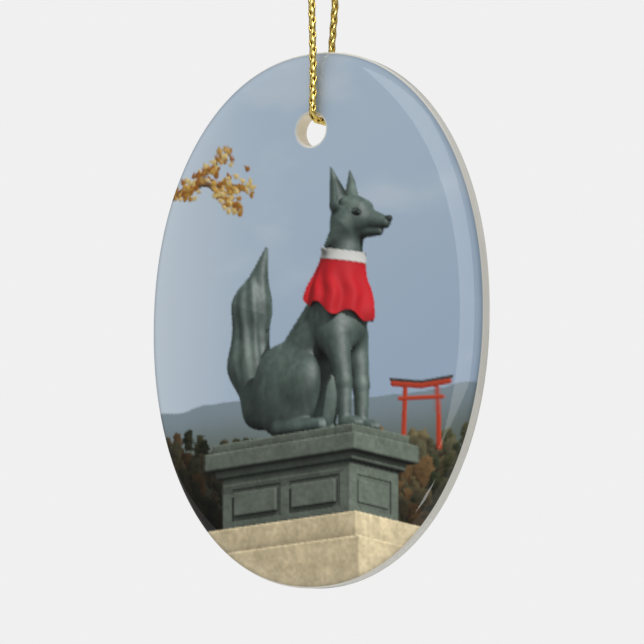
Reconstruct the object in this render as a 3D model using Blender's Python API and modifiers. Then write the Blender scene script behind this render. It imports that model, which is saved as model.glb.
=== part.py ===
"""An oval porcelain hanging ornament on a gold cord.

Units are metres and +Z is up. The printed front faces -Y. The origin is inside
the top of the cord's loop, under its knot, where a hook bears.
"""

import math

import bmesh
import bpy
from mathutils import Vector

# Disc
DISC_WIDTH = 0.066
DISC_HEIGHT = 0.091
DISC_THICKNESS = 0.0034
EDGE_THICKNESS = 0.0019  # of the straight side wall, inside the rounding
EDGE_ROUNDING = 0.0045  # how far in from the outline the faces start to fall
OUTLINE_POWER = 2.10  # 2 is a true ellipse, and more is squarer
OUTLINE_SIDES = 96
ROUNDING_STEPS = 5

# Hole
HOLE_RADIUS = 0.00275
HOLE_BELOW_TOP = 0.0133  # from the disc's top edge to the hole's centre
HOLE_ROUNDING = 0.0006
HOLE_SIDES = 40

# Cord
CORD_DIAMETER = 0.0012
LOOP_DROP = 0.038  # from the hook down to the hole's centre
CORD_LEAN = math.radians(1.4)  # the cord lies right of the hole's middle and pulls through the disc's
TURN_RADIUS = 0.0015  # of the cord's middle, where it turns into the hole and out of it
TURN_FLAT = 0.0023  # the straight run between the two turns
TURN_GAP = 0.00045  # between the hole's top and the cord
POINTS_PER_SPAN = 2

# Knot
KNOT_SIZE = (0.0048, 0.0040, 0.0050)
KNOT_GAP = 0.0003
TAIL_LENGTH = 0.0075
TAIL_LEANS = (-16, 11)  # degrees to each side

DISC_DROP = LOOP_DROP - HOLE_BELOW_TOP + DISC_HEIGHT / 2
DISC_CENTRE = Vector((-DISC_DROP * math.tan(CORD_LEAN), 0, -DISC_DROP))
HOLE_CENTRE = Vector((DISC_CENTRE.x, 0, -LOOP_DROP))
KNOT_CENTRE = Vector((0, 0, KNOT_GAP + KNOT_SIZE[2] / 2))


def new_collection(name):
    """A collection of that name in the scene, reused if it is there."""
    collection = bpy.data.collections.get(name) or bpy.data.collections.new(name)
    if name not in bpy.context.scene.collection.children:
        bpy.context.scene.collection.children.link(collection)
    return collection


def new_material(name, colour, roughness, metallic=0.0):
    """A Principled material of one colour."""
    material = bpy.data.materials.new(name)
    material.use_nodes = True
    shader = material.node_tree.nodes["Principled BSDF"]
    shader.inputs["Base Color"].default_value = (*colour, 1)
    shader.inputs["Roughness"].default_value = roughness
    shader.inputs["Metallic"].default_value = metallic
    return material


def new_object(name, data, collection, material=None):
    """An object with that data, in that collection."""
    made = bpy.data.objects.new(name, data)
    collection.objects.link(made)
    if material:
        made.data.materials.append(material)
    return made


def shade_round(mesh, sharp_degrees=35):
    """Smooth shading, with the real corners kept sharp."""
    mesh.shade_smooth()
    mesh.set_sharp_from_angle(angle=math.radians(sharp_degrees))


def as_cutter(tool):
    """Marks a guide that only shapes another object."""
    tool.hide_render = True
    tool.display_type = "WIRE"


def add_boolean(target, tool, operation):
    """A Boolean that keeps the exact solver."""
    boolean = target.modifiers.new(tool.name, "BOOLEAN")
    boolean.operation = operation
    boolean.solver = "EXACT"
    boolean.object = tool


def oval_point(angle):
    """The point of the disc's outline at that angle of the unit circle, as x and z."""
    power = 2 / OUTLINE_POWER
    across = math.copysign(abs(math.cos(angle)) ** power, math.cos(angle))
    up = math.copysign(abs(math.sin(angle)) ** power, math.sin(angle))
    return DISC_WIDTH / 2 * across, DISC_HEIGHT / 2 * up


def round_over_face(bm, face):
    """Insets one face in steps, so that it falls towards its edge in a quarter ellipse."""
    rise = (DISC_THICKNESS - EDGE_THICKNESS) / 2
    steps = [math.pi / 2 * i / ROUNDING_STEPS for i in range(ROUNDING_STEPS + 1)]
    for low, high in zip(steps, steps[1:]):
        bmesh.ops.inset_region(
            bm,
            faces=[face],
            thickness=EDGE_ROUNDING * (math.cos(low) - math.cos(high)),
            depth=rise * (math.sin(high) - math.sin(low)),
            use_even_offset=True,
        )


def hole_cutter(collection):
    """A turned plug for the hole, flared where the hole's edges are rounded."""
    half = DISC_THICKNESS / 2
    steps = 4
    arc = [math.pi / 2 * i / steps for i in range(steps + 1)]
    flare = [
        (
            HOLE_RADIUS + HOLE_ROUNDING * (1 - math.sin(a)),
            half - HOLE_ROUNDING * (1 - math.cos(a)),
        )
        for a in arc
    ]
    above = half + 0.001
    outer = HOLE_RADIUS + HOLE_ROUNDING
    profile = [(0, above), (outer, above)] + flare
    profile += [(r, -y) for r, y in reversed(profile)]

    mesh = bpy.data.meshes.new("hole_cutter")
    edges = [(i, i + 1) for i in range(len(profile) - 1)]
    mesh.from_pydata([(r, 0, h) for r, h in profile], edges, [])
    cutter = new_object("hole_cutter", mesh, collection)
    cutter.location = HOLE_CENTRE
    cutter.rotation_euler = (math.pi / 2, 0, 0)
    screw = cutter.modifiers.new("turn", "SCREW")
    screw.axis = "Z"
    screw.steps = HOLE_SIDES
    screw.render_steps = HOLE_SIDES
    screw.use_merge_vertices = True
    screw.merge_threshold = 0.00001
    as_cutter(cutter)
    return cutter


def make_disc(collection, cutters):
    """The oval disc: a flat cylinder drawn out to the outline, its faces rounded over, and the hole."""
    bm = bmesh.new()
    bmesh.ops.create_cone(
        bm,
        cap_ends=True,
        segments=OUTLINE_SIDES,
        radius1=1,
        radius2=1,
        depth=EDGE_THICKNESS,
    )
    for vertex in bm.verts:
        angle = math.atan2(vertex.co.y, vertex.co.x)
        x, z = oval_point(angle)
        vertex.co = (x, -vertex.co.z, z)
    bm.normal_update()
    for cap in [face for face in bm.faces if len(face.verts) == OUTLINE_SIDES]:
        round_over_face(bm, cap)
    mesh = bpy.data.meshes.new("ceramic_disc")
    bm.to_mesh(mesh)
    bm.free()
    shade_round(mesh)
    material = new_material("glazed_porcelain", (0.60, 0.66, 0.70), 0.08)
    disc = new_object("ceramic_disc", mesh, collection, material)
    disc.location = DISC_CENTRE
    add_boolean(disc, hole_cutter(cutters), "DIFFERENCE")
    return disc


def front_strand():
    """The front strand's route down from the knot, as distances from the disc's plane and heights."""
    neck = [(0.00075, 0.0), (0.0013, -0.002), (0.0022, -0.005), (0.0031, -0.0085)]
    belly = [(0.0037, -0.012), (0.00375, -0.0155), (0.0034, -0.0195)]
    foot = [(0.0030, -0.024), (0.0027, -0.0285), (0.0026, -0.032)]
    return neck + belly + foot


def hole_turn():
    """The cord's way through the hole: two quarter turns with a short straight run between them."""
    low = -LOOP_DROP + HOLE_RADIUS - TURN_GAP - CORD_DIAMETER / 2
    angles = [math.pi / 2 * i / 4 for i in range(5)]
    return [
        (
            TURN_FLAT / 2 + TURN_RADIUS * math.cos(angle),
            low + TURN_RADIUS * (1 - math.sin(angle)),
        )
        for angle in angles
    ]


def cord_route():
    """The whole loop: down the front, through the hole and up the back."""
    half = front_strand() + hole_turn()
    front = [(-out, height) for out, height in half]
    whole = front + list(reversed(half))
    return [Vector((z * math.tan(CORD_LEAN), y, z)) for y, z in whole]


def smooth_through(points, per_span):
    """A Catmull-Rom curve through the points, with so many steps to each span."""
    ends = [2 * points[0] - points[1]] + points + [2 * points[-1] - points[-2]]
    curve = []
    for before, start, end, after in zip(ends, ends[1:], ends[2:], ends[3:]):
        for step in range(per_span):
            t = step / per_span
            bend = 2 * before - 5 * start + 4 * end - after
            twist = 3 * start - before - 3 * end + after
            curve.append(start + ((end - before) * t + bend * t**2 + twist * t**3) / 2)
    return curve + [points[-1]]


def make_cord(collection):
    """The hanging cord, one length from the knot back to the knot."""
    curve = bpy.data.curves.new("hanging_cord", "CURVE")
    curve.dimensions = "3D"
    curve.bevel_depth = CORD_DIAMETER / 2
    curve.bevel_resolution = 2
    curve.use_fill_caps = True
    points = smooth_through(cord_route(), POINTS_PER_SPAN)
    spline = curve.splines.new("POLY")
    spline.points.add(len(points) - 1)
    for target, point in zip(spline.points, points):
        target.co = (*point, 1)
    material = new_material("gold_cord", (0.75, 0.55, 0.18), 0.35, metallic=1.0)
    return new_object("hanging_cord", curve, collection, material)


def make_tail(name, lean, collection):
    """One cut end of the cord, which stands out of the knot's top."""
    bpy.ops.mesh.primitive_cone_add(
        vertices=10,
        radius1=CORD_DIAMETER / 2,
        radius2=CORD_DIAMETER * 0.65,
        depth=TAIL_LENGTH,
    )
    tail = bpy.context.active_object
    tail.name = name
    tail.data.transform(tail.matrix_world)
    tail.matrix_world.identity()
    tail.rotation_euler = (0, math.radians(lean), 0)
    direction = Vector((math.sin(math.radians(lean)), 0, math.cos(math.radians(lean))))
    start = KNOT_SIZE[2] / 2 - CORD_DIAMETER
    tail.location = KNOT_CENTRE + direction * (start + TAIL_LENGTH / 2)
    for old in tail.users_collection:
        old.objects.unlink(tail)
    collection.objects.link(tail)
    as_cutter(tail)
    return tail


def make_knot(collection, cutters):
    """The knot that closes the loop, with its two short tails."""
    mesh = bpy.data.meshes.new("cord_knot")
    bm = bmesh.new()
    bmesh.ops.create_uvsphere(bm, u_segments=20, v_segments=12, radius=0.5)
    bmesh.ops.scale(bm, vec=KNOT_SIZE, verts=bm.verts)
    bm.to_mesh(mesh)
    bm.free()
    shade_round(mesh)
    material = new_material("gold_knot", (0.75, 0.55, 0.18), 0.35, metallic=1.0)
    knot = new_object("cord_knot", mesh, collection, material)
    knot.location = KNOT_CENTRE
    for number, lean in enumerate(TAIL_LEANS):
        add_boolean(knot, make_tail(f"knot_tail_{number}", lean, cutters), "UNION")
    return knot


def main():
    for old in list(bpy.data.objects):
        bpy.data.objects.remove(old, do_unlink=True)
    ornament = new_collection("hanging_ornament")
    cutters = new_collection("cutters")
    make_disc(ornament, cutters)
    make_cord(ornament)
    make_knot(ornament, cutters)
    bpy.context.view_layer.update()


if __name__ == "__main__":
    main()
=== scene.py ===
"""The looks of an oval porcelain hanging ornament on a gold cord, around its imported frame.

Everything is in metres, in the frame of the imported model: +Z is up, the printed front
faces -Y, and the origin is inside the top of the cord's loop. Only the print and the
spacing of its points are worked out in millimetres, around the disc's centre.
"""

import math

import bpy
import numpy as np
from mathutils import Matrix, Vector
from mathutils.geometry import delaunay_2d_cdt


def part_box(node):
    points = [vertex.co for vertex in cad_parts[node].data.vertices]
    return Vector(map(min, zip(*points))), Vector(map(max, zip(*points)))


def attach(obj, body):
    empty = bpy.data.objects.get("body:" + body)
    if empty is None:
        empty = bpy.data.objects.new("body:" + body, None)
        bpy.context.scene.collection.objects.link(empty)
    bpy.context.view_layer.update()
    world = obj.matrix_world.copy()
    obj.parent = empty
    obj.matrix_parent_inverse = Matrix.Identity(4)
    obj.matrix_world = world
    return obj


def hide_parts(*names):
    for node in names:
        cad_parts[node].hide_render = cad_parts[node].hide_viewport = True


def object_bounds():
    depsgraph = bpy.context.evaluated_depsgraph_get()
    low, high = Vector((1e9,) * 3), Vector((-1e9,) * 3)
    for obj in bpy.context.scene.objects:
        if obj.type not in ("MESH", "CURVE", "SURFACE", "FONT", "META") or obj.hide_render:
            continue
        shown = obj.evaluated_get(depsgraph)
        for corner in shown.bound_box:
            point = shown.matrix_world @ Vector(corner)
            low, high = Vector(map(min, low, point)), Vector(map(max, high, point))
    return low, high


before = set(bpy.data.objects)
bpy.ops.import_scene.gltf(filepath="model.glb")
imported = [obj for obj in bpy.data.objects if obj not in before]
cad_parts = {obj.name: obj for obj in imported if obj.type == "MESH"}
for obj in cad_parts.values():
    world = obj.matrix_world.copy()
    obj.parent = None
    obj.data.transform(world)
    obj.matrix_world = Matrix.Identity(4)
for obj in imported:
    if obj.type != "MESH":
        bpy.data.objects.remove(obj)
cad_low, cad_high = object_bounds()

MM = 0.001
SINGLE = np.float32

# The photograph's view
IMAGE_SIDE = 644
VIEW_AZIMUTH = 32.2
VIEW_ELEVATION = -6.2
VIEW_ROLL = 0.2
VIEW_DISTANCE = 0.450
PIXELS_PER_METRE = 5905
DISC_CENTRE_RIGHT = -6.4  # pixels from the picture's middle
DISC_CENTRE_UP = 3.5

# The disc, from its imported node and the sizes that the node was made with
disc_low, disc_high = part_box("ceramic_disc")
DISC_CENTRE = (disc_low + disc_high) / 2
HALF_WIDTH = (disc_high.x - disc_low.x) / 2
HALF_HEIGHT = (disc_high.z - disc_low.z) / 2
HALF_THICKNESS = (disc_high.y - disc_low.y) / 2
EDGE_HALF = 0.95 * MM  # of the straight side wall
EDGE_ROUNDING = 4.5 * MM
OUTLINE_POWER = 2.10
HOLE_RADIUS = 2.75 * MM
HOLE_ROUNDING = 0.6 * MM
HOLE_BELOW_TOP = 13.3 * MM
HOLE_HEIGHT = disc_high.z - HOLE_BELOW_TOP

# The disc's mesh
COLUMNS = 960
FRONT_RINGS = 18
HALVED_RINGS = 9  # of them, next to the flat face, where the print needs its points closer together
BACK_RINGS = 5
WALL_RINGS = 4
HOLE_COLUMNS = 96
HOLE_RINGS = 7
FINE_PITCH = 0.23  # between the front's points where the print has its figure, in millimetres
COARSE_PITCH = 0.46
BACK_PITCH = 3.0
FINE_SIDE = 21.0
FINE_TOP = 27.5
CLEARANCE = 0.15

# The cord
CORD_DIAMETER = 1.2 * MM
CORD_LEAN = math.radians(1.4)
TURN_RADIUS = 1.5 * MM
TURN_FLAT = 2.3 * MM
TURN_GAP = 0.45 * MM
BRAID_STEP = 0.13 * MM
BRAID_PITCH = 7.5 * MM
YARNS_EACH_WAY = 3
YARN_WIDTH = 0.62 * MM
YARN_THICKNESS = 0.26 * MM
YARN_WAVE = 0.09 * MM
YARN_BULGE = 0.06 * MM  # how far the yarns' crowns stand proud of the cord's nominal round
LEAST_CORE = 0.1 * MM
FRAY_LENGTH = 1.6 * MM
FRAY_SPREAD = 0.9
FRAY_NARROWING = 0.55

# The gold foil, and the painted shade between its yarns
FOIL_LIGHT = (1.0, 0.82, 0.32, 1)
FOIL_DEEP = (0.84, 0.58, 0.10, 1)
# painted shade: the colour the foil turns to between the yarns, towards the cord's middle
PAINTED_SHADE_BETWEEN_YARNS = (0.30, 0.19, 0.02, 1)
CROWN_SHADING = (0.68, 0.94)  # shares of the way out to a yarn's crown between which the painted shade gives way to the foil
GLITTER_SCALE = 5200.0

# Where the print lies on the disc, in millimetres
PRINT_CENTRE = (-0.15, 0.0, 0.0)
PRINT_HALF_WIDTH = 33.0
PRINT_HALF_HEIGHT = 45.22
PRINT_END = (-EDGE_HALF / MM - 0.12, -EDGE_HALF / MM - 0.02)  # depths between which it ends
PRINT_RIM = (0.998, 1.003)
PRINT_EDGE_SHADE = (-1.45, -1.15)  # depths between which painted shade darkens the print over the rounded edge
# how much the painted shade darkens the print there
PRINT_EDGE_SHADE_TONE = 0.72
PRINT_OFF_HOLE = (0.25, 0.6)  # distances from the hole between which it starts
BORE_END = (0.02, 0.2)
CLAY_CLOUDS = 0.16
GLAZE_WAVE = 0.006 * MM  # the glaze's faint waviness, which only bends its reflections
GLAZE_WAVE_SCALE = 110.0

# How the print is sampled around each point, in millimetres
SAMPLE_OFFSETS = ((-0.105, -0.035), (0.035, -0.105), (0.105, 0.035), (-0.035, 0.105))

# The studio
FLOOR_DROP = 0.6
FLOOR_HALF_SIDE = 4.6
FLOOR_COLOUR = (0.70, 0.70, 0.69, 1)
ROOM_LIGHT = 0.69
ROOM_IN_REFLECTIONS = 0.12
SOFTBOXES = {
    # azimuth and elevation in degrees, distance, width and height in metres, and power
    "key": (-50, 36, 1.4, 0.8, 0.8, 8),
    "band": (-18.2, 14.0, 1.2, 0.34, 0.54, 1.08),
    "glint": (-20.0, -4.6, 1.2, 0.05, 0.04, 0.03),
    "sparkle": (48, 36, 1.2, 0.9, 0.6, 14.0),
    "behind": (187, 22, 1.6, 2.0, 1.0, 1.8),
    "side": (112, 62, 1.2, 0.6, 0.6, 2.4),
    "back": (180, 0, 1.2, 0.4, 0.4, 5.0),
}
NOT_REFLECTED = ("key", "back")
ONLY_REFLECTED = ("sparkle", "behind")
ON_CORD_ALONE = ("sparkle",)


def direction(azimuth, elevation):
    """The unit vector towards that azimuth and elevation in degrees. Azimuth 0 is -Y and 90 is +X."""
    around, above = math.radians(azimuth), math.radians(elevation)
    flat = math.cos(above)
    return Vector((math.sin(around) * flat, -math.cos(around) * flat, math.sin(above)))


def srgb(red, green, blue):
    """A colour given as it looks on a screen, 0 to 255, as the linear colour of a surface."""
    shown = [part / 255 for part in (red, green, blue)]
    linear = [part / 12.92 if part <= 0.04045 else ((part + 0.055) / 1.055) ** 2.4 for part in shown]
    return (*linear, 1.0)


def add_camera():
    """The camera at the photograph's viewing angle."""
    data = bpy.data.cameras.new("camera")
    camera = bpy.data.objects.new("camera", data)
    bpy.context.scene.collection.objects.link(camera)
    back = direction(VIEW_AZIMUTH, VIEW_ELEVATION)
    right = Vector((0, 0, 1)).cross(back).normalized()
    up = back.cross(right)
    roll = math.radians(VIEW_ROLL)
    rolled_right = right * math.cos(roll) + up * math.sin(roll)
    rolled_up = up * math.cos(roll) - right * math.sin(roll)
    aside = -rolled_right * DISC_CENTRE_RIGHT - rolled_up * DISC_CENTRE_UP
    place = DISC_CENTRE + back * VIEW_DISTANCE + aside / PIXELS_PER_METRE
    axes = Matrix((rolled_right, rolled_up, back)).transposed().to_4x4()
    camera.matrix_world = Matrix.Translation(place) @ axes
    focal_pixels = PIXELS_PER_METRE * VIEW_DISTANCE
    data.sensor_width = 36
    data.lens = data.sensor_width * focal_pixels / IMAGE_SIDE
    data.clip_start = 0.01
    data.clip_end = 20
    bpy.context.scene.camera = camera


# Cord geometry


def front_strand():
    """The front strand's route down from the knot, as distances from the disc's plane and heights."""
    neck = [(0.00075, 0.0), (0.0013, -0.002), (0.0022, -0.005), (0.0031, -0.0085)]
    belly = [(0.0037, -0.012), (0.00375, -0.0155), (0.0034, -0.0195)]
    foot = [(0.0030, -0.024), (0.0027, -0.0285), (0.0026, -0.032)]
    return neck + belly + foot


def hole_turn():
    """The cord's way through the hole: two quarter turns with a short straight run between them."""
    low = HOLE_HEIGHT + HOLE_RADIUS - TURN_GAP - CORD_DIAMETER / 2
    angles = [math.pi / 2 * i / 4 for i in range(5)]
    return [
        (
            TURN_FLAT / 2 + TURN_RADIUS * math.cos(angle),
            low + TURN_RADIUS * (1 - math.sin(angle)),
        )
        for angle in angles
    ]


def cord_route():
    """The whole loop: down the front, through the hole and up the back."""
    half = front_strand() + hole_turn()
    front = [(-out, height) for out, height in half]
    whole = front + list(reversed(half))
    return [Vector((z * math.tan(CORD_LEAN), y, z)) for y, z in whole]


def knot_route(side):
    """One of the two strands through the overhand knot, from the cord's end to its cut tail."""
    start_y = side * 0.75
    shift = side * 0.52
    points = [(0, start_y, 0.0), (0, start_y * 0.9, 0.5)]
    for i in range(17):
        t = -1.95 + 3.9 * i / 16
        x = 0.62 * (t**3 - 3 * t)
        y = 0.50 * (t**4 - 4 * t**2 + 1.9)
        z = 3.3 + 0.135 * (t**5 - 10 * t) + 0.45 * t
        points.append((x + 0.15 * shift, y * 0.8 + shift, z))
    lean = -0.22 if side > 0 else 0.30
    x, y, z = points[-1]
    for rise in (1.2, 2.6, 4.0, 5.2):
        points.append((x * (1 - rise / 6) + lean * rise, y * 0.9, z + rise))
    return [Vector(point) * MM for point in points]


def smooth_through(points, per_span):
    """A Catmull-Rom curve through the points, with so many steps to each span."""
    ends = [2 * points[0] - points[1]] + points + [2 * points[-1] - points[-2]]
    curve = []
    for before, start, end, after in zip(ends, ends[1:], ends[2:], ends[3:]):
        for step in range(per_span):
            t = step / per_span
            bend = 2 * before - 5 * start + 4 * end - after
            twist = 3 * start - before - 3 * end + after
            curve.append(start + ((end - before) * t + bend * t**2 + twist * t**3) / 2)
    return curve + [points[-1]]


def even_path(points, step):
    """The same line as an array of points at even steps, with its distances along."""
    line = np.array([tuple(point) for point in points])
    along = np.concatenate([[0], np.cumsum(np.linalg.norm(np.diff(line, axis=0), axis=1))])
    count = max(2, int(round(along[-1] / step)) + 1)
    at = np.linspace(0, along[-1], count)
    return np.stack([np.interp(at, along, line[:, axis]) for axis in range(3)], 1), at


def moving_frames(path):
    """Two normals along a path, turned no more than the path itself bends."""
    tangents = np.gradient(path, axis=0)
    tangents /= np.linalg.norm(tangents, axis=1)[:, None]
    normal = np.cross(tangents[0], (1.0, 0.0, 0.0))
    normals = []
    for tangent in tangents:
        normal = normal - tangent * (normal @ tangent)
        normal = normal / np.linalg.norm(normal)
        normals.append(normal)
    normals = np.array(normals)
    return normals, np.cross(tangents, normals)


def tube(centres, across, outward, half_width, half_thickness, sides=8):
    """Vertices and quads of a closed tube of oval section along a line."""
    turn = np.arange(sides) * 2 * math.pi / sides
    wide = np.cos(turn)[None, :, None] * across[:, None, :] * half_width
    thick = np.sin(turn)[None, :, None] * outward[:, None, :] * half_thickness
    points = (centres[:, None, :] + wide + thick).reshape(-1, 3)
    count = len(centres)
    faces = []
    for row in range(count - 1):
        for side in range(sides):
            after = (side + 1) % sides
            low, high = row * sides, (row + 1) * sides
            faces.append((low + side, low + after, high + after, high + side))
    faces.append(tuple(reversed(range(sides))))
    faces.append(tuple((count - 1) * sides + side for side in range(sides)))
    return points, faces


def yarn(path, at, normals, sideways, middle, opened, way, start):
    """One yarn of a braid, which winds that way round the path from a starting angle."""
    angle = way * 2 * math.pi * at / BRAID_PITCH + start
    wave = way * YARN_WAVE * np.cos(YARNS_EACH_WAY * 2 * math.pi * at / BRAID_PITCH)
    radius = (middle + wave) * (1 + opened)
    outward = np.cos(angle)[:, None] * normals + np.sin(angle)[:, None] * sideways
    centres = path + outward * radius[:, None]
    along = np.gradient(centres, axis=0)
    along /= np.linalg.norm(along, axis=1)[:, None]
    across = np.cross(along, outward)
    across /= np.linalg.norm(across, axis=1)[:, None]
    facing = np.cross(across, along)
    narrow = 1 - FRAY_NARROWING * np.clip(opened, 0, 1)
    return tube(centres, across * narrow[:, None], facing, YARN_WIDTH / 2, YARN_THICKNESS / 2)


def braid(path, at, opened=None):
    """A round braid along a path: half of the yarns wind each way, over one and under one.

    opened gives how far it opens at each step, for a cut end. Each of the parts returned is
    its points, its faces and its points' distances from the path, as shares of a crown's.
    """
    normals, sideways = moving_frames(path)
    middle = CORD_DIAMETER / 2 + YARN_BULGE - YARN_THICKNESS / 2 - YARN_WAVE
    if opened is None:
        opened = np.zeros(len(path))
    parts = [
        yarn(path, at, normals, sideways, middle, opened, way, 2 * math.pi * number / YARNS_EACH_WAY)
        for way in (1, -1)
        for number in range(YARNS_EACH_WAY)
    ]
    core = np.maximum(middle - YARN_WAVE, LEAST_CORE)
    parts.append(tube(path, normals, sideways, core, core, sides=6))
    crown = middle + YARN_WAVE + YARN_THICKNESS / 2
    made = []
    for points, faces in parts:
        rows = points.reshape(len(path), -1, 3)
        reach = np.linalg.norm(rows - path[:, None, :], axis=2) / (1 + opened[:, None])
        made.append((points, faces, (reach / crown).ravel()))
    return made


def mesh_of(name, parts):
    """One smooth shaded mesh of several parts, each a tuple that starts with its points and faces."""
    points, faces, start = [], [], 0
    for part_points, part_faces, *_ in parts:
        points.append(part_points)
        faces += [tuple(start + i for i in face) for face in part_faces]
        start += len(part_points)
    mesh = bpy.data.meshes.new(name)
    mesh.from_pydata(np.concatenate(points).tolist(), [], faces)
    mesh.update()
    mesh.shade_smooth()
    return mesh


def braid_mesh(name, parts):
    """A braid's mesh, with each point's distance from the cord's middle as an attribute, 1 at a crown."""
    mesh = mesh_of(name, parts)
    layer = mesh.attributes.new("crown", "FLOAT", "POINT")
    shares = np.concatenate([share for _, _, share in parts])
    layer.data.foreach_set("value", shares.astype(SINGLE))
    return mesh


def add_piece(name, mesh, slot, *nodes):
    """A piece of the object that rides on its body and stands for CAD nodes."""
    piece = bpy.data.objects.new(name, mesh)
    bpy.context.scene.collection.objects.link(piece)
    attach(piece, "root")
    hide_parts(*nodes)
    return piece


def make_cord():
    """The braided loop and its knot."""
    path, at = even_path(smooth_through(cord_route(), 12), BRAID_STEP)
    cord = add_piece("cord_loop", braid_mesh("cord_loop", braid(path, at)), "gold_cord", "hanging_cord")
    parts = []
    for side in (-1, 1):
        strand, along = even_path(smooth_through(knot_route(side), 10), BRAID_STEP)
        to_end = along - along[-1]
        opened = np.clip((to_end + FRAY_LENGTH) / FRAY_LENGTH, 0, 1) ** 2 * FRAY_SPREAD
        parts += braid(strand, along, opened)
    knot = add_piece("knot_and_tails", braid_mesh("knot_and_tails", parts), "gold_cord", "cord_knot")
    return cord, knot


# Disc geometry


def outline_ring():
    """The disc's outline as an array of (x, z), and its outward normals, around the disc's centre."""
    angle = np.arange(COLUMNS) * 2 * math.pi / COLUMNS
    power = 2 / OUTLINE_POWER
    across, up = np.cos(angle), np.sin(angle)
    x = HALF_WIDTH * np.sign(across) * np.abs(across) ** power
    z = HALF_HEIGHT * np.sign(up) * np.abs(up) ** power
    slope_x = np.sign(across) * np.abs(x / HALF_WIDTH) ** (OUTLINE_POWER - 1) / HALF_WIDTH
    slope_z = np.sign(up) * np.abs(z / HALF_HEIGHT) ** (OUTLINE_POWER - 1) / HALF_HEIGHT
    length = np.hypot(slope_x, slope_z)
    return np.stack([x, z], 1), np.stack([slope_x / length, slope_z / length], 1)


def edge_rings():
    """Rings of points from the front's flat face, over the rounded edge, to the back's flat face."""
    outline, normals = outline_ring()

    def ring(inset, y):
        flat = outline - normals * inset
        return np.stack([flat[:, 0], np.full(COLUMNS, y), flat[:, 1]], 1)

    def rounding(side, count, halved=0):
        rise = HALF_THICKNESS - EDGE_HALF
        places = [i / 2 for i in range(2 * halved)] + list(range(halved, count + 1))
        turns = [math.pi / 2 * (1 - place / count) for place in places]
        return [
            ring(EDGE_ROUNDING * (1 - math.cos(turn)), side * (EDGE_HALF + rise * math.sin(turn)))
            for turn in turns
        ]

    wall = [ring(0, EDGE_HALF * (2 * i / WALL_RINGS - 1)) for i in range(1, WALL_RINGS)]
    return rounding(-1, FRONT_RINGS, HALVED_RINGS) + wall + rounding(1, BACK_RINGS)[::-1]


def hole_rings():
    """Rings of points from the back's flat face, through the hole, to the front's flat face."""
    angle = np.arange(HOLE_COLUMNS) * 2 * math.pi / HOLE_COLUMNS
    middle = HOLE_HEIGHT - DISC_CENTRE.z

    def ring(radius, y):
        flat = np.full(HOLE_COLUMNS, y)
        return np.stack([radius * np.cos(angle), flat, middle + radius * np.sin(angle)], 1)

    def rounding(side):
        turns = [math.pi / 2 * i / HOLE_RINGS for i in range(HOLE_RINGS + 1)]
        return [
            ring(
                HOLE_RADIUS + HOLE_ROUNDING * (1 - math.cos(turn)),
                side * (HALF_THICKNESS - HOLE_ROUNDING * (1 - math.sin(turn))),
            )
            for turn in turns
        ]

    return rounding(1)[::-1] + rounding(-1)


def grid(fine, coarse, border, hole_border):
    """Points of a rectangular grid between an outer and an inner border, as (x, z) in millimetres.

    They are a fine step apart where the print has its figure, and a coarse one outside.
    """
    half_width, half_height = HALF_WIDTH / MM, HALF_HEIGHT / MM
    across = np.concatenate([
        np.arange(-half_width, -FINE_SIDE, coarse),
        np.arange(-FINE_SIDE, FINE_SIDE, fine),
        np.arange(FINE_SIDE, half_width, coarse),
    ])
    up = np.concatenate([
        np.arange(-half_height, FINE_TOP, fine),
        np.arange(FINE_TOP, half_height, coarse),
    ])
    x, z = [part.ravel() for part in np.meshgrid(across, up)]
    angles = np.arctan2(border[:, 1], border[:, 0])
    order = np.argsort(angles)
    limit = np.interp(np.arctan2(z, x), angles[order], np.hypot(*border[order].T), period=2 * math.pi)
    middle = hole_border.mean(axis=0)
    hole_radius = np.hypot(*(hole_border[0] - middle))
    keep = np.hypot(x, z) < limit - CLEARANCE
    keep &= np.hypot(x - middle[0], z - middle[1]) > hole_radius + CLEARANCE
    return np.stack([x[keep], z[keep]], 1)


def flat_face(outer, inner, pitches):
    """Extra points of a flat face between two rings, and its triangles.

    The triangles count the outer ring's points first, then the inner ring's, then the extra ones.
    """
    borders = [ring[:, [0, 2]] / MM for ring in (outer, inner)]
    extra = grid(*pitches, *borders)
    flat = np.concatenate(borders + [extra])
    edges = []
    start = 0
    for border in borders:
        count = len(border)
        edges += [(start + i, start + (i + 1) % count) for i in range(count)]
        start += count
    made = delaunay_2d_cdt([Vector(point) for point in flat.tolist()], edges, [], 0, 1e-7, True)
    number = np.array([ids[0] for ids in made[3]])
    triangles = number[np.array(made[2])]
    middle = borders[1].mean(axis=0)
    away = np.hypot(*(flat[triangles].mean(axis=1) - middle).T)
    triangles = triangles[away > np.hypot(*(borders[1][0] - middle)) * 0.999]
    points = np.stack([extra[:, 0] * MM, np.full(len(extra), outer[0, 1]), extra[:, 1] * MM], 1)
    return points, triangles


def bands(first, count, columns):
    """Quads that join that many rings, numbered from first."""
    faces = []
    for row in range(count - 1):
        low, high = first + row * columns, first + (row + 1) * columns
        for column in range(columns):
            after = (column + 1) % columns
            faces.append((low + column, high + column, high + after, low + after))
    return faces


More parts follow.
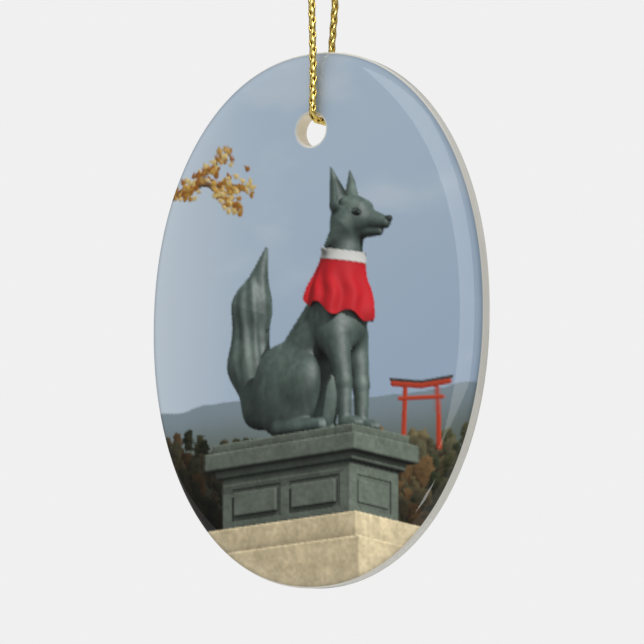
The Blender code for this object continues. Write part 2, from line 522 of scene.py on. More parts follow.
def make_disc():
    """The glazed disc as one closed skin, its front with the print's colours in its points."""
    edge, hole = edge_rings(), hole_rings()
    hole_start = len(edge) * COLUMNS
    points = [np.concatenate(edge), np.concatenate(hole)]
    faces = bands(0, len(edge), COLUMNS) + bands(hole_start, len(hole), HOLE_COLUMNS)
    count = hole_start + len(hole) * HOLE_COLUMNS
    last_edge, last_hole = hole_start - COLUMNS, count - HOLE_COLUMNS
    front = (edge[0], 0, hole[-1], last_hole, (FINE_PITCH, COARSE_PITCH), 1)
    back = (edge[-1], last_edge, hole[0], hole_start, (BACK_PITCH, BACK_PITCH), -1)
    for outer, outer_start, inner, inner_start, pitches, winding in (front, back):
        extra, triangles = flat_face(outer, inner, pitches)
        numbers = np.concatenate([
            outer_start + np.arange(COLUMNS),
            inner_start + np.arange(HOLE_COLUMNS),
            count + np.arange(len(extra)),
        ])
        faces += [tuple(triangle) for triangle in numbers[triangles][:, ::winding].tolist()]
        points.append(extra)
        count += len(extra)
    points = np.concatenate(points)
    mesh = mesh_of("glazed_disc", [(points + np.array(DISC_CENTRE), faces)])
    colours = np.ones((len(points), 4), SINGLE)
    printed = points[:, 1] < -EDGE_HALF / 2
    colours[printed, :3] = print_colours(points[printed][:, [0, 2]] / MM)
    layer = mesh.color_attributes.new("print", "FLOAT_COLOR", "POINT")
    layer.data.foreach_set("color", colours.ravel())
    return add_piece("glazed_disc", mesh, "glazed_porcelain", "ceramic_disc")


# Random values and colours for the print


def tone(red, green, blue):
    """A colour given as it looks on a screen, as a linear array."""
    return np.array(srgb(red, green, blue)[:3], SINGLE)


def smooth_step(value, low, high):
    """0 up to low, 1 from high on, and a smooth way between."""
    share = np.clip((value - low) / (high - low), 0, 1)
    return share * share * (3 - 2 * share)


def lattice(seed, column, row):
    """A repeatable random value from 0 to 1 for each whole-number cell."""
    mixed = column.astype(np.uint32) * np.uint32(374761393) + row.astype(np.uint32) * np.uint32(668265263)
    mixed = mixed + np.uint32(seed * 2654435761 % (1 << 32))
    mixed = (mixed ^ (mixed >> np.uint32(13))) * np.uint32(1274126177)
    mixed = mixed ^ (mixed >> np.uint32(16))
    return (mixed & np.uint32(0xFFFF)).astype(SINGLE) / 65535


def noise(x, z, seed):
    """Smooth random values over a plane, from 0 to 1."""
    left, low = np.floor(x), np.floor(z)
    across, up = [share * share * (3 - 2 * share) for share in (x - left, z - low)]
    column, row = left.astype(np.int64), low.astype(np.int64)
    below = lattice(seed, column, row) * (1 - across) + lattice(seed, column + 1, row) * across
    above = lattice(seed, column, row + 1) * (1 - across) + lattice(seed, column + 1, row + 1) * across
    return below * (1 - up) + above * up


def layers(x, z, size, octaves, seed, fade=0.5):
    """Noise summed over finer and finer sizes."""
    total, weight, weights = 0, 1.0, 0.0
    for octave in range(octaves):
        finer = 2**octave
        aside, above = 17.3 * octave, 9.1 * octave
        total = total + weight * noise(x / size * finer + aside, z / size * finer + above, seed + octave)
        weights += weight
        weight *= fade
    return total / weights


# The print's figure is a solid of soft limbs and blocks, seen from one side in sunlight.
# A place is its forward, sideways and upward distance in millimetres from the plinth's top.


def limb(place, start, end, start_radius, end_radius):
    """Distance to a round limb that tapers from one point to another."""
    ahead, aside, up = [last - first for first, last in zip(start, end)]
    squared = ahead * ahead + aside * aside + up * up
    x, y, z = [part - first for part, first in zip(place, start)]
    share = np.clip((x * ahead + y * aside + z * up) / squared, 0, 1)
    x, y, z = x - ahead * share, y - aside * share, z - up * share
    radius = start_radius + (end_radius - start_radius) * share
    return np.sqrt(x * x + y * y + z * z) - radius


def egg(place, centre, radii, turn=0.0):
    """Distance to an egg, which turn tilts in the plane of forward and up, in degrees."""
    x, y, z = [part - middle for part, middle in zip(place, centre)]
    if turn:
        cosine, sine = math.cos(math.radians(turn)), math.sin(math.radians(turn))
        x, z = x * cosine + z * sine, z * cosine - x * sine
    wide, deep, high = radii
    x, y, z = x / wide, y / deep, z / high
    reach = np.sqrt(x * x + y * y + z * z)
    steepness = np.sqrt((x / wide) ** 2 + (y / deep) ** 2 + (z / high) ** 2)
    return reach * (reach - 1) / np.maximum(steepness, 1e-6)


def block(place, low, high, rounding):
    """Distance to a box with rounded edges."""
    past = [
        np.abs(part - (bottom + top) / 2) - ((top - bottom) / 2 - rounding)
        for part, bottom, top in zip(place, low, high)
    ]
    outside = np.sqrt(sum(np.maximum(part, 0) ** 2 for part in past))
    inside = np.minimum(np.maximum(np.maximum(past[0], past[1]), past[2]), 0)
    return outside + inside - rounding


def join(first, second, width):
    """The nearer of two distances, with a fillet of that width where their forms meet."""
    overlap = np.maximum(width - np.abs(first - second), 0)
    return np.minimum(first, second) - overlap * overlap / (4 * width)


def mirrored(place):
    """The same place with the left half folded onto the right."""
    return place[0], np.abs(place[1]), place[2]


def toes(place, middle, first, last, depth):
    """The grooves between a paw's toes, from one forward distance to another."""
    return depth * np.cos((place[1] - middle) * 4.6) * smooth_step(place[0], first, last)


def tail(place):
    """Distance to the raised tail, with its furrows."""
    spine = [(-12.5, 0.5, 4.0), (-17.6, 1.4, 7.0), (-20.2, 1.6, 15.0)]
    spine += [(-19.4, 1.2, 25.0), (-15.4, 0.6, 34.6)]
    radii = [1.7, 2.8, 3.9, 3.6, 0.35]
    form = limb(place, spine[0], spine[1], radii[0], radii[1])
    for start, end, start_radius, end_radius in zip(spine[1:], spine[2:], radii[1:], radii[2:]):
        form = join(form, limb(place, start, end, start_radius, end_radius), 2.2)
    around = np.arctan2(place[1] - 1.2, place[0] + 19.5)
    furrows = 0.16 * np.sin(around * 9 + place[2] * 0.25)
    return form + furrows * smooth_step(place[2], 8, 20) * (1 - smooth_step(place[2], 27, 34))


def head(place):
    """Distance to the head, which looks forward with its mouth a little open."""
    pair = mirrored(place)
    form = egg(place, (5.6, 0, 37.0), (4.3, 3.7, 3.7), -8)
    muzzle = limb(place, (7.4, 0, 36.4), (13.6, 0, 34.9), 2.5, 1.05)
    form = join(form, muzzle, 1.6)
    jaw = limb(place, (6.6, 0, 34.9), (12.2, 0, 33.6), 1.9, 0.75)
    form = join(form, jaw, 0.35)
    nose = egg(place, (14.3, 0, 35.4), (0.8, 0.75, 0.6))
    form = join(form, nose, 0.2)
    cheeks = limb(pair, (5.0, 2.5, 35.4), (2.4, 4.2, 32.2), 1.9, 0.4)
    form = join(form, cheeks, 1.4)
    brows = limb(pair, (8.6, 1.5, 38.4), (5.4, 2.5, 39.4), 0.75, 0.8)
    form = join(form, brows, 0.8)
    ears = limb(pair, (4.4, 2.4, 39.4), (2.9, 3.4, 45.6), 2.15, 0.15)
    hollows = limb(pair, (5.9, 3.1, 40.0), (3.9, 4.0, 45.0), 1.75, 0.05)
    form = join(form, np.maximum(ears, -hollows), 0.5)
    eyes = egg(pair, (8.5, 2.75, 37.2), (1.0, 0.6, 0.5), -14)
    form = np.maximum(form, -(eyes - 0.16))
    return np.minimum(form, eyes)


def fox(place):
    """Distance to a seated fox."""
    pair = mirrored(place)
    form = limb(place, (-9.6, 0, 9.0), (-0.6, 0, 19.6), 5.9, 5.0)
    chest = egg(place, (3.6, 0, 21.6), (4.9, 4.6, 7.4), 14)
    form = join(form, chest, 3.0)
    neck = limb(place, (2.8, 0, 26.0), (4.6, 0, 35.0), 4.3, 3.2)
    form = join(form, neck, 3.0)
    shoulders = egg(pair, (2.4, 3.1, 19.6), (3.3, 2.5, 6.6), 10)
    form = join(form, shoulders, 1.6)
    forelegs = limb(pair, (4.4, 3.2, 16.5), (5.9, 3.0, 8.6), 2.5, 1.6)
    form = join(form, forelegs, 1.6)
    shins = limb(pair, (5.9, 3.0, 8.6), (6.1, 2.9, 2.0), 1.6, 1.25)
    form = join(form, shins, 0.6)
    forepaws = egg(pair, (7.7, 2.9, 1.1), (2.6, 1.7, 1.3)) - toes(pair, 2.9, 7.2, 8.6, 0.13)
    form = join(form, forepaws, 0.9)
    haunches = egg(pair, (-7.6, 4.0, 8.4), (7.3, 3.3, 8.5), 24)
    form = join(form, haunches, 1.0)
    knees = egg(pair, (-2.6, 4.7, 9.6), (3.4, 2.5, 4.2), -30)
    form = join(form, knees, 2.0)
    hind_feet = limb(pair, (-8.0, 4.8, 1.7), (1.6, 5.0, 1.3), 1.8, 1.4) - toes(pair, 5.0, 1.4, 2.8, 0.12)
    form = join(form, hind_feet, 0.8)
    form = np.minimum(form, tail(place))
    return join(form, head(place), 1.4)


COLLAR = (4.0, 30.2)  # the neck's middle at the collar, forward and up
NECK_LENGTH = math.hypot(1.8, 9.0)
NECK = (1.8 / NECK_LENGTH, 9.0 / NECK_LENGTH)


def along_neck(place):
    """How far up the neck a place is from the collar."""
    return (place[0] - COLLAR[0]) * NECK[0] + (place[2] - COLLAR[1]) * NECK[1]


def bib(place, body):
    """Distance to a cloth that hangs from the collar over the chest, in pleats."""
    x, y, z = place
    up = along_neck(place)
    around = np.arctan2(y, x - 1.0)
    scallops = 0.7 * np.cos(around * 7 + 0.6)
    drop = 9.6 + scallops - 3.2 * (1 - np.cos(around * 0.55))
    pleat = 0.42 * np.sin(around * 11 + 0.5 * np.sin(z))
    pleat = (pleat + 0.2 * np.sin(around * 5 + 1)) * smooth_step(-up, 0.5, 7.0)
    shell = body - 0.6 - pleat - 0.5 * smooth_step(-up, 3, 9)
    edge = np.maximum(up, -(up + drop))
    back = -(x + 2.6 - 0.14 * (z - 22))
    return np.maximum(np.maximum(shell, edge), back)


def collar(place, body):
    """Distance to the plain band above the bib."""
    ring = np.maximum(body - 0.75, np.abs(along_neck(place) - 0.3) - 0.85)
    return np.maximum(ring, -4.0 - place[0])


PANEL_HOLLOWS = (
    ((-17.4, -9.4, -13.4), (-5.6, -8.0, -7.9)),
    ((-3.4, -9.4, -13.4), (8.6, -8.0, -7.9)),
    ((10.6, -6.0, -13.4), (12.0, 6.0, -7.9)),
)
PANEL_FIELDS = (
    ((-16.6, -9.0, -12.6), (-6.4, -8.2, -8.7)),
    ((-2.6, -9.0, -12.6), (7.8, -8.2, -8.7)),
    ((10.4, -5.2, -12.6), (11.0, 5.2, -8.7)),
)


def plinth(place):
    """Distance to the stone under the fox: two ledges over a block with panels."""
    ledges = block(place, (-21.5, -9.8, -1.6), (12.6, 9.8, 0.0), 0.25)
    ledges = np.minimum(ledges, block(place, (-22.8, -11.0, -4.6), (13.9, 11.0, -1.6), 0.35))
    ledges = join(ledges, block(place, (-21.0, -9.4, -5.9), (12.2, 9.4, -4.3), 0.5), 0.8)
    body = block(place, (-19.8, -8.4, -15.6), (11.0, 8.4, -5.0), 0.2)
    for low, high in PANEL_HOLLOWS:
        body = np.maximum(body, -block(place, low, high, 0.1))
    for low, high in PANEL_FIELDS:
        body = np.minimum(body, block(place, low, high, 0.2))
    return np.minimum(ledges, body)


def steps(place):
    """Distance to the two pale steps under the plinth."""
    upper = block(place, (-24.5, -13.0, -20.0), (15.6, 13.0, -15.4), 0.3)
    return np.minimum(upper, block(place, (-27.0, -15.5, -40.0), (18.0, 15.5, -20.0), 0.3))


# How the picture looks at its figure, and the sun in it

yaw, pitch = math.radians(34.0), math.radians(-9.0)
FORE = np.array([math.sin(yaw), -math.cos(yaw), 0.0])
RIGHT = np.array([math.cos(yaw), math.sin(yaw), 0.0])
TO_EYE = FORE * math.cos(pitch) + np.array([0, 0, 1.0]) * math.sin(pitch)
UP = np.array([0, 0, 1.0]) * math.cos(pitch) - FORE * math.sin(pitch)
TO_SUN = RIGHT * 0.50 + UP * 0.62 + TO_EYE * 0.60
TO_SUN /= np.linalg.norm(TO_SUN)
HALF_WAY = (TO_SUN + TO_EYE) / np.linalg.norm(TO_SUN + TO_EYE)
FIGURE_PLACE = (3.5, -20.5)  # where the figure's origin falls in the picture
FIGURE_REACH = (30, 29)  # no point further aside or further up is on the figure
EYE_DISTANCE = 45.0
SLOPE_STEP = 0.06
OPEN_SKY_REACHES = (0.6, 1.4, 3.0)

# The figure's surfaces in the order of surfaces(), and each one's colour and shine
BRONZE, CLOTH, BAND, STONE, GRANITE = range(5)
PAINTS = {
    BRONZE: (tone(92, 108, 102), 0.16),
    CLOTH: (tone(214, 34, 44), 0.02),
    BAND: (tone(232, 232, 228), 0.0),
    STONE: (tone(122, 133, 120), 0.02),
    GRANITE: (tone(252, 233, 190), 0.0),
}
PATINA = tone(128, 150, 140)


def surfaces(place):
    """Distances to each of the figure's surfaces."""
    body = fox(place)
    return np.stack([body, bib(place, body), collar(place, body), plinth(place), steps(place)])


def nearest(place):
    """Distance to the nearest of them."""
    return surfaces(place).min(axis=0)


def march(start, way, tries, reach, least=0.02):
    """Walks rays until they meet a surface. Returns how far each goes, and which of them hit."""
    count = start.shape[1]
    gone = np.zeros(count, SINGLE)
    hit = np.zeros(count, bool)
    live = np.arange(count)
    ahead = np.asarray(way, SINGLE)[:, None]
    for _ in range(tries):
        if not len(live):
            break
        distance = nearest(start[:, live] + ahead * gone[live])
        near = distance < least
        hit[live[near]] = True
        gone[live] += distance * 0.9
        live = live[~near & (gone[live] < reach)]
    return gone, hit


def outward(place):
    """The surface's unit normals at places on it."""
    slopes = []
    for axis in range(3):
        nudge = np.zeros((3, 1), SINGLE)
        nudge[axis] = SLOPE_STEP
        slopes.append(nearest(place + nudge) - nearest(place - nudge))
    normals = np.stack(slopes)
    return normals / np.maximum(np.linalg.norm(normals, axis=0), 1e-6)


def facing(normals, way):
    """How squarely each surface faces that way, from 0 to 1."""
    return np.maximum((normals * way[:, None].astype(SINGLE)).sum(axis=0), 0)


def sunlight(place, normals):
    """The light on a surface, and the part of it that shines back, with shadows and hollows darker."""
    _, shaded = march(place + normals * 0.25, TO_SUN, 22, 30.0, 0.03)
    open_sky = 0
    for reach in OPEN_SKY_REACHES:
        open_sky = open_sky + np.clip(nearest(place + normals * reach) / reach, 0, 1)
    open_sky = open_sky / len(OPEN_SKY_REACHES)
    ambient = (0.34 + 0.30 * normals[2]) * open_sky**1.3
    light = ambient + 0.62 * facing(normals, TO_SUN) * ~shaded
    return light, facing(normals, HALF_WAY) ** 14 * ~shaded


def figure(x, z):
    """The figure in the picture's plane: which of the points it covers, and their colours."""
    aside, above = x - FIGURE_PLACE[0], z - FIGURE_PLACE[1]
    start = RIGHT[:, None] * aside + UP[:, None] * above + TO_EYE[:, None] * EYE_DISTANCE
    start = start.astype(SINGLE)
    gone, hit = march(start, -TO_EYE, 70, 95.0)
    place = start[:, hit] + (-TO_EYE).astype(SINGLE)[:, None] * gone[hit]
    kinds = surfaces(place).argmin(axis=0)
    light, shine = [part[:, None] for part in sunlight(place, outward(place))]
    colour = np.zeros((hit.sum(), 3), SINGLE)
    for kind, (paint, gloss) in PAINTS.items():
        pick = kinds == kind
        colour[pick] = paint * light[pick] + gloss * shine[pick]

    forward, sideways, height = place
    mottle = layers(forward * 0.9 + sideways * 0.6, height + sideways * 0.3, 2.4, 5, 3, 0.65)[:, None]
    grain = layers(x[hit], z[hit], 0.5, 2, 8)[:, None]
    bronze = kinds == BRONZE
    colour[bronze] *= (0.62 + 0.76 * mottle[bronze]) * (0.86 + 0.28 * grain[bronze])
    green = smooth_step(layers(forward + 40, height * 0.4 + sideways, 1.6, 3, 21), 0.5, 0.8)[:, None]
    patina = PATINA * light[bronze] * 0.3 * green[bronze]
    colour[bronze] = colour[bronze] * (1 - 0.25 * green[bronze]) + patina
    hard = (kinds == STONE) | (kinds == GRANITE)
    colour[hard] *= (0.72 + 0.56 * mottle[hard]) * (0.8 + 0.4 * grain[hard])
    pupils = egg(mirrored(place), (8.8, 3.0, 37.1), (0.62, 0.8, 0.46))
    colour[(pupils < 0) & bronze] *= 0.25
    nose = egg(place, (14.4, 0, 35.5), (0.9, 0.9, 0.75))
    colour[(nose < 0) & bronze] *= 0.35
    return hit, colour


# The rest of the print


class Canvas:
    """Some points of the print and their colours, with the sky as their ground."""

    def __init__(self, x, z):
        self.x = x
        self.z = z
        left, middle, right = tone(185, 197, 208), tone(163, 180, 197), tone(151, 170, 191)
        first = smooth_step(x, -34, -6)[:, None]
        second = smooth_step(z - 0.5 * x, 30, -30)[:, None]
        sky = left * (1 - first) + first * (middle * (1 - second) + right * second)
        cloud = 0.34 * smooth_step(layers(x + 5, z * 2.2, 22.0, 5, 40), 0.48, 0.8)[:, None]
        self.colour = sky * (1 - cloud) + tone(200, 208, 214) * cloud

    def stroke(self, start, end, radii, shades, rough=0.0):
        """Paints a round stroke that tapers, lit from the upper right."""
        (first, last), (dark, light) = radii, shades
        reach = max(radii) * 1.3
        near = (self.x > min(start[0], end[0]) - reach) & (self.x < max(start[0], end[0]) + reach)
        near &= (self.z > min(start[1], end[1]) - reach) & (self.z < max(start[1], end[1]) + reach)
        near = np.nonzero(near)[0]
        x, z = self.x[near], self.z[near]
        aside, above = x - start[0], z - start[1]
        run, rise = end[0] - start[0], end[1] - start[1]
        share = np.clip((aside * run + above * rise) / max(run * run + rise * rise, 1e-9), 0, 1)
        aside, above = aside - run * share, above - rise * share
        radius = first + (last - first) * share
        grain = layers(x, z, 0.45, 2, 31) - 0.5
        inside = np.hypot(aside, above) < radius * (1 + rough * grain)
        lit = 0.5 + 0.5 * (0.6 * aside + 0.8 * above) / radius + rough * grain
        self.colour[near[inside]] = dark + (light - dark) * np.clip(lit[inside], 0, 1)[:, None]


def paint_branch(canvas):
    """An autumn branch with gold leaves, at the upper left."""
    bark = (tone(46, 32, 22), tone(126, 96, 62))
    twigs = [
        ((-31, 22.5), (-22.5, 24.6), (0.85, 0.55)),
        ((-22.5, 24.6), (-12.4, 23.4), (0.5, 0.16)),
        ((-24.5, 24.2), (-17.5, 29.6), (0.42, 0.14)),
        ((-21.0, 24.3), (-14.5, 19.2), (0.36, 0.12)),
    ]
    for start, end, radii in twigs:
        canvas.stroke(start, end, radii, bark, 0.4)
    draw = np.random.default_rng(21)
    golds = [tone(214, 170, 88), tone(190, 138, 58), tone(232, 204, 134), tone(168, 108, 44)]
    for _ in range(190):
        start, end, _ = twigs[draw.integers(len(twigs))]
        share = draw.uniform(0.25, 1.05)
        leaf = [first + (last - first) * share + draw.normal(0, 0.95) for first, last in zip(start, end)]
        turn = draw.uniform(0, math.pi)
        size = draw.uniform(0.45, 0.8)
        tip = (leaf[0] + 1.1 * size * math.cos(turn), leaf[1] + 1.1 * size * math.sin(turn))
        gold = golds[draw.integers(len(golds))]
        canvas.stroke(leaf, tip, (size * 0.72, size * 0.18), (gold * 0.35, gold))


def paint_hills(canvas):
    """A hazy ridge."""
    x, z = canvas.x, canvas.z
    ridge = -16.5 + 5.0 * layers(x, x * 0, 16.0, 4, 50) + 0.05 * x
    hill = z < ridge
    haze = smooth_step(ridge - z, 0, 9)[:, None]
    canvas.colour[hill] = (tone(122, 137, 146) * (1 - haze) + tone(96, 106, 100) * haze)[hill]


def paint_trees(canvas):
    """Rows of trees before the ridge, darker towards the front and the left."""
    canvas.colour[canvas.z < -23.2 + 0.8 * np.sin(canvas.x * 0.21 + 1)] = tone(42, 42, 33)
    draw = np.random.default_rng(8)
    kinds = [tone(92, 94, 62), tone(120, 108, 76), tone(70, 78, 52)]
    kinds += [tone(134, 104, 66), tone(104, 100, 74)]
    for row in range(11):
        height = -20.6 - 1.7 * row
        for _ in range(46):
            at = draw.uniform(-34, 34)
            shade = 1 - 0.075 * row - (0.012 * row * (8 - at) / 10 if at < 8 else 0)
            foot = height + 0.8 * math.sin(at * 0.21 + 1) + draw.normal(0, 0.5)
            light = kinds[draw.integers(len(kinds))] * draw.uniform(0.75, 1.2) * max(shade, 0.08) ** 1.3
            light = light * (0.34 if at < -4 else 1.0)
            size = draw.uniform(0.8, 1.7)
            canvas.stroke((at, foot - size), (at, foot), (size, size * 0.8), (light * 0.16, light), 0.9)


def paint_gate(canvas):
    """A small red gate of two posts and two beams, in the distance."""
    red = (tone(128, 34, 22), tone(206, 78, 48))
    black = (tone(24, 26, 28), tone(84, 84, 82))
    middle, ground, top = 21.6, -22.6, -12.4
    for side in (-1, 1):
        canvas.stroke((middle + side * 3.4, ground), (middle + side * 3.0, top), (0.48, 0.42), red)
    canvas.stroke((middle - 4.1, top - 2.0), (middle + 4.1, top - 2.0), (0.34, 0.34), red)
    for side in (-1, 1):
        canvas.stroke((middle, top), (middle + side * 5.3, top + 0.6), (0.5, 0.56), red)
        canvas.stroke((middle, top + 0.62), (middle + side * 5.8, top + 1.25), (0.22, 0.26), black)


def print_colours(points):
    """The print's linear colours at points given in millimetres around the disc's centre."""
    total = np.zeros((len(points), 3), SINGLE)
    for aside, above in SAMPLE_OFFSETS:
        x, z = (points[:, 0] + aside).astype(SINGLE), (points[:, 1] + above).astype(SINGLE)
        canvas = Canvas(x, z)
        for paint in (paint_branch, paint_hills, paint_trees, paint_gate):
            paint(canvas)
        near = np.nonzero((np.abs(x) < FIGURE_REACH[0]) & (z < FIGURE_REACH[1]))[0]
        hit, painted = figure(x[near], z[near])
        canvas.colour[near[hit]] = painted
        total += canvas.colour
    return total / len(SAMPLE_OFFSETS)


# Materials


class Maths:
    """Builds numbers out of nodes in one material, so that a shape reads as a formula."""

    def __init__(self, material):
        self.tree = material.node_tree

    def node(self, kind, **settings):
        """A new node of that kind, with those settings."""
        made = self.tree.nodes.new(kind)
        for name, value in settings.items():
            setattr(made, name, value)
        return made

    def put(self, socket, value):
        """A link from an output, or a plain value, into a socket."""
        if isinstance(value, bpy.types.NodeSocket):
            self.tree.links.new(value, socket)
        else:
            socket.default_value = value

    def do(self, operation, *values):
        """One Math node."""
        made = self.node("ShaderNodeMath", operation=operation)
        for socket, value in zip(made.inputs, values):
            self.put(socket, value)
        return made.outputs[0]

    def vector(self, operation, *values):
        """One Vector Math node, with the output that its operation uses."""
        made = self.node("ShaderNodeVectorMath", operation=operation)
        for socket, value in zip(made.inputs, values):
            self.put(socket, value)
        return made.outputs["Value" if operation == "LENGTH" else "Vector"]

    def apart(self, vector):
        """The three numbers of a vector."""
        parts = self.node("ShaderNodeSeparateXYZ")
        self.put(parts.inputs[0], vector)
        return [parts.outputs[name] for name in "XYZ"]

    def ramp(self, value, low, high, start=0.0, end=1.0):
        """start where value is at low, end where it is at high, and a smooth way between."""
        made = self.node("ShaderNodeMapRange", interpolation_type="SMOOTHSTEP")
        names = ("Value", "From Min", "From Max", "To Min", "To Max")
        for name, number in zip(names, (value, low, high, start, end)):
            self.put(made.inputs[name], number)
        return made.outputs["Result"]

    def mix(self, share, first, second):
        """The first colour where share is 0, and the second where it is 1."""
        made = self.node("ShaderNodeMix", data_type="RGBA", clamp_factor=True)
        self.put(made.inputs["Factor"], share)
        self.put(made.inputs["A"], first)
        self.put(made.inputs["B"], second)
        return made.outputs["Result"]

    def noise(self, place, scale, detail, roughness):
        """Noise from 0 to 1 at that place."""
        made = self.node("ShaderNodeTexNoise")
        self.put(made.inputs["Vector"], place)
        for name, number in (("Scale", scale), ("Detail", detail), ("Roughness", roughness)):
            made.inputs[name].default_value = number
        return made.outputs["Fac"]


def new_material(name):
    """An empty node material, its Maths and its shader."""
    material = bpy.data.materials.new(name)
    material.use_nodes = True
    return material, Maths(material), material.node_tree.nodes["Principled BSDF"]


def gold_material():
    """Braided gold foil thread, with painted shade darkening it between its yarns."""
    material, maths, shader = new_material("gold_thread")
    place = maths.node("ShaderNodeTexCoord").outputs["Object"]
    glitter = maths.noise(place, GLITTER_SCALE, 1.0, 0.5)
    shader.inputs["Metallic"].default_value = 0.9
    foil = maths.mix(glitter, FOIL_DEEP, FOIL_LIGHT)
    crown = maths.node("ShaderNodeAttribute", attribute_name="crown").outputs["Fac"]
    # painted shade: the foil darkens towards the cord's middle, between the yarns
    colour = maths.mix(maths.ramp(crown, *CROWN_SHADING), PAINTED_SHADE_BETWEEN_YARNS, foil)
    maths.put(shader.inputs["Base Color"], colour)
    maths.put(shader.inputs["Roughness"], maths.ramp(glitter, 0.3, 0.7, 0.22, 0.32))
    return material


def print_share(maths, whole, from_hole):
    """1 where the print covers the front, and 0 on the rim, around the hole and behind."""
    on_front = maths.ramp(maths.apart(whole)[1], *PRINT_END, 1.0, 0.0)
    from_middle = maths.apart(maths.vector("SUBTRACT", whole, PRINT_CENTRE))
    across, _, up = [maths.do("ABSOLUTE", part) for part in from_middle]
    oval = maths.do(
        "ADD",
        maths.do("POWER", maths.do("DIVIDE", across, PRINT_HALF_WIDTH), OUTLINE_POWER),
        maths.do("POWER", maths.do("DIVIDE", up, PRINT_HALF_HEIGHT), OUTLINE_POWER),
    )
    on_front = maths.do("MULTIPLY", on_front, maths.ramp(oval, *PRINT_RIM, 1.0, 0.0))
    off_hole = maths.ramp(from_hole, *[HOLE_RADIUS / MM + out for out in PRINT_OFF_HOLE])
    return maths.do("MULTIPLY", on_front, off_hole)


def porcelain_material():
    """Glazed white porcelain, with the print under the glaze of its front face, and painted shade on the
    print over the rounded edge.
    """
    material, maths, shader = new_material("glazed_porcelain")
    object_place = maths.node("ShaderNodeTexCoord").outputs["Object"]
    from_centre = maths.vector("SUBTRACT", object_place, DISC_CENTRE)
    whole = maths.vector("MULTIPLY", from_centre, (1 / MM,) * 3)
    flat = maths.vector("MULTIPLY", whole, (1.0, 0.0, 1.0))
    hole = (0.0, 0.0, (HOLE_HEIGHT - DISC_CENTRE.z) / MM)
    from_hole = maths.vector("LENGTH", maths.vector("SUBTRACT", flat, hole))
    printed = print_share(maths, whole, from_hole)

    clouds = maths.ramp(maths.noise(flat, CLAY_CLOUDS, 3.0, 0.6), 0.3, 0.7)
    body = maths.mix(clouds, srgb(217, 215, 206), srgb(219, 217, 208))
    bore = maths.ramp(from_hole, *[HOLE_RADIUS / MM + out for out in BORE_END], 1.0, 0.0)
    ceramic = maths.mix(bore, body, srgb(244, 235, 214))
    picture = maths.node("ShaderNodeVertexColor", layer_name="print").outputs["Color"]
    # painted shade: the print is darker where it turns over the rounded edge
    edge_shade = maths.ramp(maths.apart(whole)[1], *PRINT_EDGE_SHADE)
    darker = maths.vector("MULTIPLY", picture, (PRINT_EDGE_SHADE_TONE,) * 3)
    picture = maths.mix(edge_shade, picture, darker)
    maths.put(shader.inputs["Base Color"], maths.mix(printed, ceramic, picture))

    shader.inputs["Roughness"].default_value = 0.45
    shader.inputs["Specular IOR Level"].default_value = 0.1
    shader.inputs["Coat Weight"].default_value = 1.0
    shader.inputs["Coat Roughness"].default_value = 0.03
    waves = maths.node("ShaderNodeBump")
    waves.inputs["Strength"].default_value = 1.0
    waves.inputs["Distance"].default_value = GLAZE_WAVE
    maths.put(waves.inputs["Height"], maths.noise(object_place, GLAZE_WAVE_SCALE, 1.0, 0.4))
    maths.put(shader.inputs["Coat Normal"], waves.outputs["Normal"])
    return material


# Studio


def add_softbox(name, azimuth, elevation, distance, width, height, power):
    """A soft rectangular light that looks at the disc's middle."""
    data = bpy.data.lights.new(name, "AREA")
    data.shape = "RECTANGLE"
    data.size = width
    data.size_y = height
    data.energy = power
    lamp = bpy.data.objects.new(name, data)
    towards = direction(azimuth, elevation)
    lamp.location = DISC_CENTRE + towards * distance
    lamp.rotation_mode = "QUATERNION"
    lamp.rotation_quaternion = towards.to_track_quat("Z", "Y")
    lamp.visible_camera = False
    lamp.visible_glossy = name not in NOT_REFLECTED
    lamp.visible_diffuse = name not in ONLY_REFLECTED
    bpy.context.scene.collection.objects.link(lamp)
    return lamp


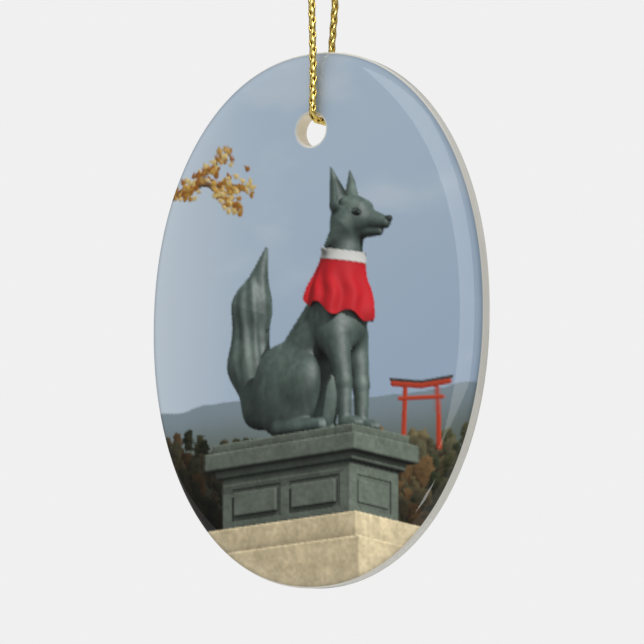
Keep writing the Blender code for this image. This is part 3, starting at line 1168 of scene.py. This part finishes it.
def add_room():
    """An even pale backdrop, whose light is plain on surfaces and faint in reflections."""
    world = bpy.data.worlds.new("studio")
    bpy.context.scene.world = world
    world.use_nodes = True
    nodes, links = world.node_tree.nodes, world.node_tree.links
    seen = nodes["Background"]
    seen.inputs["Color"].default_value = srgb(240, 240, 240)
    falling = nodes.new("ShaderNodeBackground")
    falling.inputs["Color"].default_value = (1, 1, 1, 1)
    falling.inputs["Strength"].default_value = ROOM_LIGHT
    mirrored_room = nodes.new("ShaderNodeBackground")
    mirrored_room.inputs["Strength"].default_value = ROOM_IN_REFLECTIONS
    rays = nodes.new("ShaderNodeLightPath")
    light = falling
    for ray, background in (("Is Glossy Ray", mirrored_room), ("Is Camera Ray", seen)):
        choice = nodes.new("ShaderNodeMixShader")
        links.new(rays.outputs[ray], choice.inputs["Fac"])
        links.new(light.outputs[0], choice.inputs[1])
        links.new(background.outputs[0], choice.inputs[2])
        light = choice
    links.new(light.outputs[0], nodes["World Output"].inputs["Surface"])


def add_floor():
    """A plain pale floor, well below the disc."""
    mesh = bpy.data.meshes.new("floor")
    side = FLOOR_HALF_SIDE
    corners = [(-side, -side, 0), (side, -side, 0), (side, side, 0), (-side, side, 0)]
    mesh.from_pydata(corners, [], [(0, 1, 2, 3)])
    floor = bpy.data.objects.new("floor", mesh)
    floor.location.z = cad_low.z - FLOOR_DROP
    bpy.context.scene.collection.objects.link(floor)
    material, _, shader = new_material("floor")
    shader.inputs["Base Color"].default_value = FLOOR_COLOUR
    shader.inputs["Roughness"].default_value = 0.9
    floor.data.materials.append(material)


def add_studio(cord_pieces):
    """The floor, the backdrop and the soft lights."""
    bpy.context.scene.view_settings.view_transform = "Standard"
    add_room()
    for name, settings in SOFTBOXES.items():
        lamp = add_softbox(name, *settings)
        if name in ON_CORD_ALONE:
            receivers = bpy.data.collections.new(name)
            for piece in cord_pieces:
                receivers.objects.link(piece)
            lamp.light_linking.receiver_collection = receivers
    add_floor()


add_camera()
cord, knot = make_cord()
disc = make_disc()
gold = gold_material()
for piece, material in ((cord, gold), (knot, gold), (disc, porcelain_material())):
    piece.data.materials.append(material)
add_studio((cord, knot))
